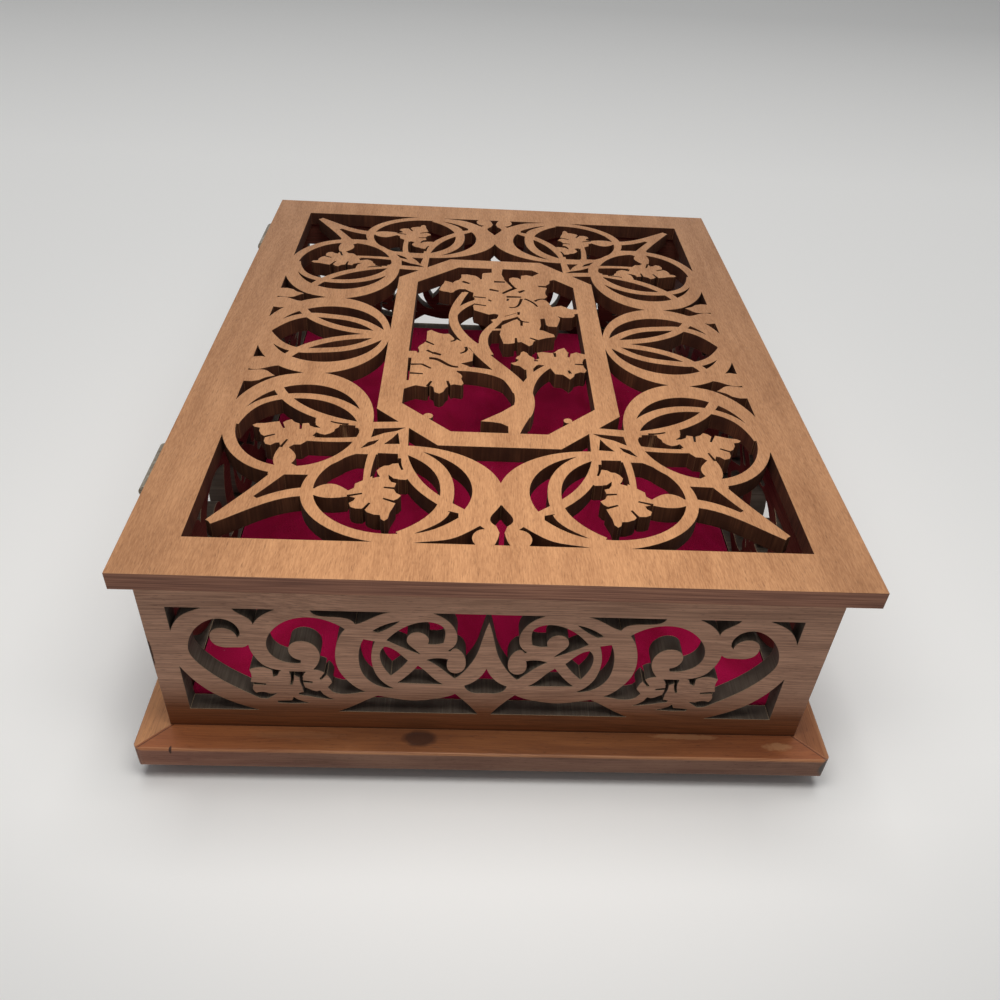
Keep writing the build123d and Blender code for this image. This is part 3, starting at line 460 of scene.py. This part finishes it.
PINE_LIGHT = (0.37, 0.145, 0.055, 1)
PINE_DARK = (0.17, 0.058, 0.024, 1)
PINE_CUTS = ((0.10, 0.04, 0.02, 1), (0.20, 0.10, 0.05, 1))
PINE_SIDE_SHADE = (0.95, 1.28, 2.2, 1)
PINE_ENDS_LIGHT = (1.42, 1.27, 1.24, 1)
PINE_ENDS_LIGHT_FROM = 55 * MM
PINE_ENDS_LIGHT_TO = 112 * MM
PINE_EASE = 0.9 * MM
PINE_EDGE_WEAR_AND_HIGHLIGHT = (0.56, 0.27, 0.13, 1)
MITRE_LINE = (0.035, 0.014, 0.008, 1)
MITRE_HALF_WIDTH = 0.35 * MM
KNOT_CENTRE = (-23.4 * MM, -147.0 * MM, 16 * MM)
KNOT_REACH = (6.0 * MM, 3.4 * MM, 6 * MM)
KNOT = (0.055, 0.022, 0.014, 1)
WORN_PATCHES = (
    ((103.0 * MM, -147.8 * MM, 16 * MM), (5.0 * MM, 1.8 * MM, 3 * MM), 0.65),
    ((-66.0 * MM, -146.5 * MM, 16 * MM), (16.0 * MM, 1.6 * MM, 3 * MM), 0.15),
    ((70.5 * MM, -144.2 * MM, 16 * MM), (13.0 * MM, 1.1 * MM, 3 * MM), 0.45),
)
WORN = (0.52, 0.27, 0.13, 1)
NICK_CENTRE = (-107.6 * MM, -153.2 * MM, 15.6 * MM)
NICK_REACH = (0.5 * MM, 1.4 * MM, 1.8 * MM)
GREY_CORNER_CENTRE = (120.0 * MM, -153.0 * MM, 12 * MM)
GREY_CORNER_REACH = (3.0 * MM, 3.0 * MM, 5 * MM)
GREY_CORNER = (0.11, 0.095, 0.085, 1)

# Painted light: each strip's top is multiplied by its own factor; the hinge side strip is much paler and
# greyer, and the opening side strip a little paler.
PINE_STRIP_LIGHT = {
    "moulding_front": ("X", (1.0, 1.0, 1.0, 1)),
    "moulding_back": ("X", (1.0, 1.0, 1.0, 1)),
    "moulding_hinge_side": ("Y", (2.0, 2.5, 2.9, 1)),
    "moulding_opening_side": ("Y", (1.25, 1.25, 1.25, 1)),
}

base_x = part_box("moulding_front")[1].x
base_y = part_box("moulding_back")[1].y
for node, (grain, strip_light) in PINE_STRIP_LIGHT.items():
    low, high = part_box(node)
    centre = (low + high) / 2
    pine = Board(node + "_pine", grain, "Z", PINE_DARK, PINE_LIGHT, PINE_CUTS,
                 {"Lines": 0.26, "Streaks": 0.46, "Clouds": 0.36}, shift=tuple(centre * 5))
    tree = pine.tree
    top_tone = mixed(tree, 1.0, pine.face_colour, strip_light, "MULTIPLY")
    # Painted shade: the upright and rounded faces are tinted greyer than the top, as they stand in shade.
    side_shade_tone = mixed(tree, 1.0, pine.face_colour, PINE_SIDE_SHADE, "MULTIPLY")
    slope = stretched(tree, pine.normal_z, 0.80, 0.35)
    pine.colour = mixed(tree, slope, top_tone, side_shade_tone)
    if node == "moulding_front":
        # Painted light: the front strip's top is painted lighter towards both ends, and its upright face
        # towards the left end.
        ends = stretched(tree, maths(tree, "ABSOLUTE", pine.x), PINE_ENDS_LIGHT_FROM, PINE_ENDS_LIGHT_TO)
        ends = maths(tree, "MULTIPLY", ends, maths(tree, "SUBTRACT", 1.0, slope))
        pine.paint(ends, PINE_ENDS_LIGHT, "MULTIPLY")
        left = stretched(tree, pine.x, -PINE_ENDS_LIGHT_FROM, -PINE_ENDS_LIGHT_TO)
        pine.paint(maths(tree, "MULTIPLY", left, slope), PINE_ENDS_LIGHT, "MULTIPLY")
        for patch_centre, patch_reach, strength in WORN_PATCHES:
            pine.paint(pine.blot(patch_centre, patch_reach, ragged=0.6), WORN, strength=strength)
        pine.paint(pine.blot(KNOT_CENTRE, KNOT_REACH, 0.2), KNOT, strength=0.85)
    across = maths(tree, "SUBTRACT", maths(tree, "ABSOLUTE", pine.x), maths(tree, "ABSOLUTE", pine.y))
    mitre = maths(tree, "ABSOLUTE", maths(tree, "SUBTRACT", across, base_x - base_y))
    mitre = stretched(tree, mitre, MITRE_HALF_WIDTH, MITRE_HALF_WIDTH * 0.3)
    pine.paint(mitre, MITRE_LINE, strength=0.85)
    # The edges, and the eased line along the outer top edge, are painted lighter, partly as wear and
    # partly as a painted highlight where light catches them.
    pine.paint(pine.edges.outputs["Edge"], PINE_EDGE_WEAR_AND_HIGHLIGHT, strength=0.55)
    outer_axis, outer = ("Y", base_y) if grain == "X" else ("X", base_x)
    top_line = pine.beyond(outer_axis, 0.0, outer - PINE_EASE)
    near_top = stretched(tree, pine.z, high.z - PINE_EASE, high.z - PINE_EASE / 2)
    top_line = maths(tree, "MULTIPLY", top_line, near_top)
    rub_and_highlight = stretched(tree, pine.figure.outputs["Lines"], 0, 0.7, 0.15, 0.6)
    pine.paint(maths(tree, "MULTIPLY", top_line, rub_and_highlight), PINE_EDGE_WEAR_AND_HIGHLIGHT)
    if node == "moulding_front":
        pine.paint(pine.blot(GREY_CORNER_CENTRE, GREY_CORNER_REACH, 0.3), GREY_CORNER)
        pine.paint(pine.blot(NICK_CENTRE, NICK_REACH, 0.15, 900.0), KNOT)
    dress(node, pine.settle(roughness=0.42))


# Boards under and inside
# Plain thin plywood: the floor rests inside the walls, and the bottom board is pinned below and
# painted much darker as painted shade in the gap under the base.

PLY_LIGHT = (0.60, 0.43, 0.26, 1)
PLY_DARK = (0.42, 0.28, 0.155, 1)
PLY_CORE = (0.24, 0.14, 0.075, 1)
PLY_VENEER = 1.3 * MM

# Painted shade: the bottom board's tones are cut to a quarter, a dark line of shade under the base; the
# floor board keeps its own tones.
for node, painted_shade_share in (("bottom_board", 0.25), ("floor_board", 1.0)):
    low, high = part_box(node)
    dark, light = shaded(PLY_DARK, painted_shade_share), shaded(PLY_LIGHT, painted_shade_share)
    ply = Board(node + "_ply", "Y", "Z", dark, light, (dark, light),
                {"Lines": 0.4, "Streaks": 0.35, "Clouds": 0.3})
    core = ply.beyond("Z", (low.z + high.z) / 2, (high.z - low.z) / 2 - PLY_VENEER)
    core = maths(ply.tree, "SUBTRACT", 1.0, core)
    ply.paint(maths(ply.tree, "MULTIPLY", core, ply.is_side), shaded(PLY_CORE, painted_shade_share))
    dress(node, ply.settle(roughness=0.7))


# Velvet lining
# A sheet of crimson cotton velvet, laid over a card on the floor board, its edges turned down
# along the walls. The pile is brushed one way and another, and has picked up some lint.

VELVET_EDGE_ROUND = 1.6 * MM
VELVET_EDGE_DROP = 3.3 * MM
VELVET_SWELL = 0.45 * MM
VELVET_MESH_STEP = 2.6 * MM
VELVET_DEEP = (0.37, 0.0025, 0.042, 1)
VELVET_BRIGHT = (0.60, 0.0065, 0.090, 1)
VELVET_BRUSHED_LUMPS = (45, 30, 30)
VELVET_PILE_LUMPS = (2600, 2600, 2600)
VELVET_LINT_LUMPS = (620, 420, 500)
VELVET_LINT = (0.62, 0.30, 0.36, 1)

velvet_low, velvet_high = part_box("velvet_lining")
velvet_half = (velvet_high - velvet_low) / 2


def velvet_rows(half):
    """Places across the sheet: a few close rows over each turned edge, even rows between."""
    turn = [half - VELVET_EDGE_ROUND * (1 - sin(radians(a))) for a in (90, 65, 40, 20, 0)]
    inner = turn[-1]
    steps = round(2 * inner / VELVET_MESH_STEP)
    rows = [-inner + 2 * inner * i / steps for i in range(steps + 1)]
    return [-t for t in turn[:-1]] + rows + [t for t in reversed(turn[:-1])]


def velvet_height(x, y):
    """The sheet's height: soft swells in the middle, and a quarter round down at each edge."""
    near = min(velvet_half.x - abs(x), velvet_half.y - abs(y))
    swell = 0.5 + 0.5 * field.noise(Vector((x, y, 0.0)) * 28.0)
    swell *= 0.6 + 0.4 * field.noise(Vector((x, y, 2.0)) * 75.0)
    inward = max(0.0, VELVET_EDGE_ROUND - near)
    fall = VELVET_EDGE_ROUND - (VELVET_EDGE_ROUND**2 - inward**2) ** 0.5
    calm = min(1.0, near / (8 * MM))
    return velvet_high.z - VELVET_SWELL * swell * calm - fall


velvet_mesh = bmesh.new()
velvet_xs = velvet_rows(velvet_half.x)
velvet_ys = velvet_rows(velvet_half.y)
velvet_grid = [[velvet_mesh.verts.new((x, y, velvet_height(x, y))) for x in velvet_xs]
               for y in velvet_ys]
for near_row, far_row in zip(velvet_grid, velvet_grid[1:]):
    for a, b, c, d in zip(near_row, near_row[1:], far_row[1:], far_row):
        velvet_mesh.faces.new((a, b, c, d))
border = [edge for edge in velvet_mesh.edges if edge.is_boundary]
skirt = bmesh.ops.extrude_edge_only(velvet_mesh, edges=border)["geom"]
for vertex in skirt:
    if isinstance(vertex, bmesh.types.BMVert):
        vertex.co.z = velvet_high.z - VELVET_EDGE_DROP
bmesh.ops.recalc_face_normals(velvet_mesh, faces=velvet_mesh.faces)
velvet_data = bpy.data.meshes.new("velvet_sheet")
velvet_mesh.to_mesh(velvet_data)
velvet_mesh.free()
velvet_sheet = bpy.data.objects.new("velvet_sheet", velvet_data)
scene.collection.objects.link(velvet_sheet)
for face in velvet_data.polygons:
    face.use_smooth = True

velvet, velvet_tree, velvet_shader = new_material("crimson_velvet")
velvet_place = put(velvet_tree, "ShaderNodeTexCoord").outputs["Object"]
brushed = noise(velvet_tree, scaled(velvet_tree, velvet_place, VELVET_BRUSHED_LUMPS), 3, 0.55, 1.2)
brushed = stretched(velvet_tree, brushed, 0.35, 0.68)
pile = noise(velvet_tree, scaled(velvet_tree, velvet_place, VELVET_PILE_LUMPS), 2, 0.6)
pile_tone = stretched(velvet_tree, pile, 0.35, 0.65)
velvet_tone = maths(velvet_tree, "ADD", maths(velvet_tree, "MULTIPLY", brushed, 0.65),
                    maths(velvet_tree, "MULTIPLY", pile_tone, 0.35))
velvet_colour = mixed(velvet_tree, velvet_tone, VELVET_DEEP, VELVET_BRIGHT)
lint = noise(velvet_tree, scaled(velvet_tree, velvet_place, VELVET_LINT_LUMPS), 2, 0.5)
lint = maths(velvet_tree, "MULTIPLY", stretched(velvet_tree, lint, 0.745, 0.79), 0.5)
velvet_colour = mixed(velvet_tree, lint, velvet_colour, VELVET_LINT)
velvet_tree.links.new(velvet_colour, velvet_shader.inputs["Base Color"])
velvet_shader.inputs["Roughness"].default_value = 0.95
velvet_shader.inputs["Specular IOR Level"].default_value = 0.15
velvet_shader.inputs["Sheen Weight"].default_value = 0.55
velvet_shader.inputs["Sheen Roughness"].default_value = 0.35
velvet_shader.inputs["Sheen Tint"].default_value = (1.0, 0.05, 0.22, 1)
velvet_bump = put(velvet_tree, "ShaderNodeBump",
                  {"Strength": 0.6, "Distance": 0.25 * MM, "Height": pile_tone})
velvet_tree.links.new(velvet_bump.outputs[0], velvet_shader.inputs["Normal"])
velvet_data.materials.append(velvet)

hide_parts("velvet_lining")
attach(velvet_sheet, "box")


# Hinges
# Two small pressed butt hinges, brown with age and painted brighter along their edges, partly as wear and
# partly as a painted highlight.

HINGE_BROWN = (0.15, 0.115, 0.080, 1)
HINGE_GREY = (0.36, 0.32, 0.255, 1)
HINGE_RUBBED_AND_HIGHLIGHT = (0.62, 0.56, 0.46, 1)
HINGE_EDGE_WIDTH = 0.25 * MM
HINGE_LUMPS = (420, 300, 420)

hinge_metal, hinge_tree, hinge_shader = new_material("old_hinge_metal")
hinge_place = put(hinge_tree, "ShaderNodeTexCoord").outputs["Object"]
tarnish = noise(hinge_tree, scaled(hinge_tree, hinge_place, HINGE_LUMPS), 4, 0.65, 0.5)
tarnish = stretched(hinge_tree, tarnish, 0.36, 0.66)
hinge_edges = put(hinge_tree, "ShaderNodeGroup", {"Width": HINGE_EDGE_WIDTH}, node_tree=BOARD_EDGES)
hinge_colour = mixed(hinge_tree, tarnish, HINGE_BROWN, HINGE_GREY)
# The edges are painted brighter, partly as wear and partly as a painted highlight where light catches
# them.
hinge_colour = mixed(hinge_tree, maths(hinge_tree, "MULTIPLY", hinge_edges.outputs["Edge"], 0.6),
                     hinge_colour, HINGE_RUBBED_AND_HIGHLIGHT)
hinge_tree.links.new(hinge_colour, hinge_shader.inputs["Base Color"])
hinge_shader.inputs["Metallic"].default_value = 1.0
hinge_tree.links.new(stretched(hinge_tree, tarnish, 0, 1, 0.56, 0.34), hinge_shader.inputs["Roughness"])
hinge_bump = put(hinge_tree, "ShaderNodeBump",
                 {"Strength": 0.3, "Distance": 0.05 * MM, "Height": tarnish,
                  "Normal": hinge_edges.outputs["Normal"]})
hinge_tree.links.new(hinge_bump.outputs[0], hinge_shader.inputs["Normal"])
for node in nodes:
    if node.startswith(("hinge_front_", "hinge_back_")):
        dress(node, hinge_metal)


# Hinge screws
# Small countersunk steel screws with a single slot, two to a leaf, flush in the leaf.

SCREW_HEAD_RADIUS = 1.75 * MM
SCREW_HEAD_DEPTH = 0.95 * MM
SCREW_SHANK_RADIUS = 0.75 * MM
SCREW_THREAD_RADIUS = 0.97 * MM
SCREW_THREAD_PITCH = 0.9 * MM
SCREW_SLOT_HALF_WIDTH = 0.24 * MM
SCREW_SLOT_DEPTH = 0.45 * MM
SCREW_SIDES = 32
SCREW_HEAD_RIM = 0.12 * MM
SCREW_PLAIN_NECK = 0.5 * MM
SCREW_POINT = 1.2 * MM
SCREW_PLACES_APART = 3
STEEL_DULL = (0.30, 0.28, 0.25, 1)
STEEL_BRIGHT = (0.56, 0.54, 0.50, 1)

steel, steel_tree, steel_shader = new_material("screw_steel")
steel_place = put(steel_tree, "ShaderNodeTexCoord").outputs["Object"]
steel_wear = stretched(steel_tree, noise(steel_tree, scaled(steel_tree, steel_place, (900, 900, 900)), 3),
                       0.36, 0.66)
steel_tree.links.new(mixed(steel_tree, steel_wear, STEEL_DULL, STEEL_BRIGHT),
                     steel_shader.inputs["Base Color"])
steel_shader.inputs["Metallic"].default_value = 1.0
steel_tree.links.new(stretched(steel_tree, steel_wear, 0, 1, 0.5, 0.3), steel_shader.inputs["Roughness"])


def slotted_screw(length):
    """A screw standing head down at the origin, point up, with a slot sawn across its head."""
    rings = [(0.0, 0.0), (SCREW_HEAD_RADIUS, 0.0), (SCREW_HEAD_RADIUS, SCREW_HEAD_RIM),
             (SCREW_SHANK_RADIUS, SCREW_HEAD_DEPTH)]
    z = SCREW_HEAD_DEPTH + SCREW_PLAIN_NECK
    while z < length - SCREW_POINT:
        rings += [(SCREW_SHANK_RADIUS, z), (SCREW_THREAD_RADIUS, z + SCREW_THREAD_PITCH * 0.45),
                  (SCREW_THREAD_RADIUS, z + SCREW_THREAD_PITCH * 0.55)]
        z += SCREW_THREAD_PITCH
    rings += [(SCREW_SHANK_RADIUS, z), (0.0, length)]
    mesh = bmesh.new()
    profile = [mesh.verts.new((r, 0, height)) for r, height in rings]
    edges = [mesh.edges.new(pair) for pair in zip(profile, profile[1:])]
    bmesh.ops.spin(mesh, geom=profile + edges, axis=(0, 0, 1), cent=(0, 0, 0),
                   angle=2 * pi, steps=SCREW_SIDES, use_merge=True)
    bmesh.ops.remove_doubles(mesh, verts=mesh.verts, dist=0.002 * MM)
    bmesh.ops.recalc_face_normals(mesh, faces=mesh.faces)
    data = bpy.data.meshes.new("screw")
    mesh.to_mesh(data)
    mesh.free()
    screw = bpy.data.objects.new("screw", data)
    scene.collection.objects.link(screw)

    bpy.ops.mesh.primitive_cube_add(size=1.0, location=(0, 0, 0))
    slot_tool = bpy.context.object
    slot_tool.scale = (4 * SCREW_HEAD_RADIUS, 2 * SCREW_SLOT_HALF_WIDTH, 2 * SCREW_SLOT_DEPTH)
    slot_cut = screw.modifiers.new("slot", "BOOLEAN")
    slot_cut.operation = "DIFFERENCE"
    slot_cut.object = slot_tool
    slot_cut.solver = "EXACT"
    bpy.context.view_layer.update()
    cut = bpy.data.meshes.new_from_object(screw.evaluated_get(bpy.context.evaluated_depsgraph_get()))
    bpy.data.objects.remove(slot_tool)
    bpy.data.objects.remove(screw)
    return cut


def screw_set(name, node, upward, slot_turns):
    """Screws where a node's screws stand, each with its slot turned in its own way."""
    low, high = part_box(node)
    screw_mesh = slotted_screw(high.z - low.z)
    mesh = bmesh.new()
    middle_x = (low.x + high.x) / 2
    head_z = low.z if upward else high.z
    ys = sorted({round(vertex.co.y / MM) for vertex in nodes[node].data.vertices})
    groups = []
    for y in ys:
        if groups and y - groups[-1][-1] < SCREW_PLACES_APART:
            groups[-1].append(y)
        else:
            groups.append([y])
    for group, slot_turn in zip(groups, slot_turns):
        part = bmesh.new()
        part.from_mesh(screw_mesh)
        flip = Matrix.Rotation(0 if upward else pi, 4, "X")
        turn = Matrix.Rotation(radians(slot_turn), 4, "Z")
        middle_y = (group[0] + group[-1]) / 2 * MM
        part.transform(Matrix.Translation((middle_x, middle_y, head_z)) @ turn @ flip)
        moved = bpy.data.meshes.new("moved")
        part.to_mesh(moved)
        part.free()
        mesh.from_mesh(moved)
    data = bpy.data.meshes.new(name)
    mesh.to_mesh(data)
    mesh.free()
    data.materials.append(steel)
    screws = bpy.data.objects.new(name, data)
    scene.collection.objects.link(screws)
    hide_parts(node)
    return screws


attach(screw_set("wall_screws", "hinge_screws_wall", False, (20, 75, 140, 5)), "box")
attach(screw_set("lid_screws", "hinge_screws_lid", True, (60, 110, 35, 160)), "lid")


# Panel pins
# Thin steel nails through the bottom board, heads flush with its underside.

dress("bottom_board_pins", steel)
